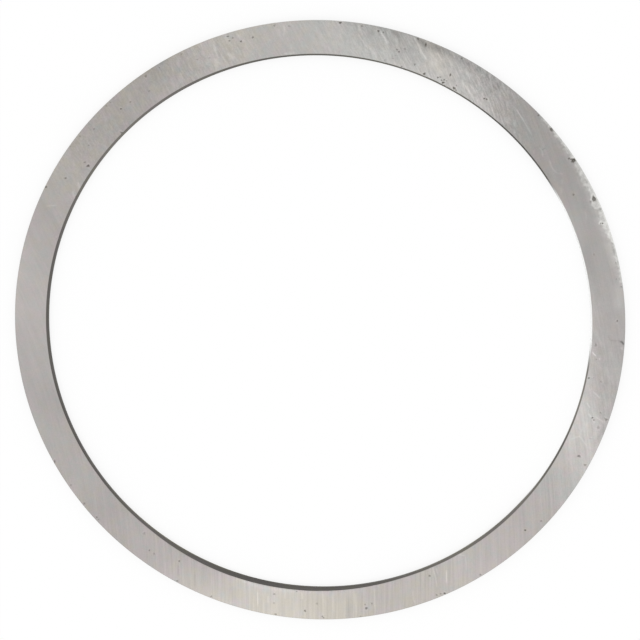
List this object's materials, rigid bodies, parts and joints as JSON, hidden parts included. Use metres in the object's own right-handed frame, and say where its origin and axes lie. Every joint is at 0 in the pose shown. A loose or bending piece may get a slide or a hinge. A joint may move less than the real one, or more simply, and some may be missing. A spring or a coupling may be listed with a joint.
{
  "type": "shim ring",
  "caption": "Thin flat steel spacing ring with ground faces and lightly broken edges, its bore broken deeper on one side and its rim worn to a bevel and nicked on another.",
  "frame": {"origin": "centre of the bore on the lower face", "axes": "+Z along the bore, out of the upper face; +X towards the ring's right and +Y towards its top as the picture shows it, so the worn bevel on the rim is between 9 and 45 degrees from +X towards +Y and the deeper bore break is centred on 259.5 degrees"},
  "size_m": [0.09, 0.09, 0.001],
  "materials": {
    "ground_steel": "surface-ground steel, satin, with fine grinding lines, small dark pits, light scratches and a worn bright bevel on one side of the rim"
  },
  "bodies": {
    "root": {"shim_ring": "ground_steel"}
  },
  "joints": []
}
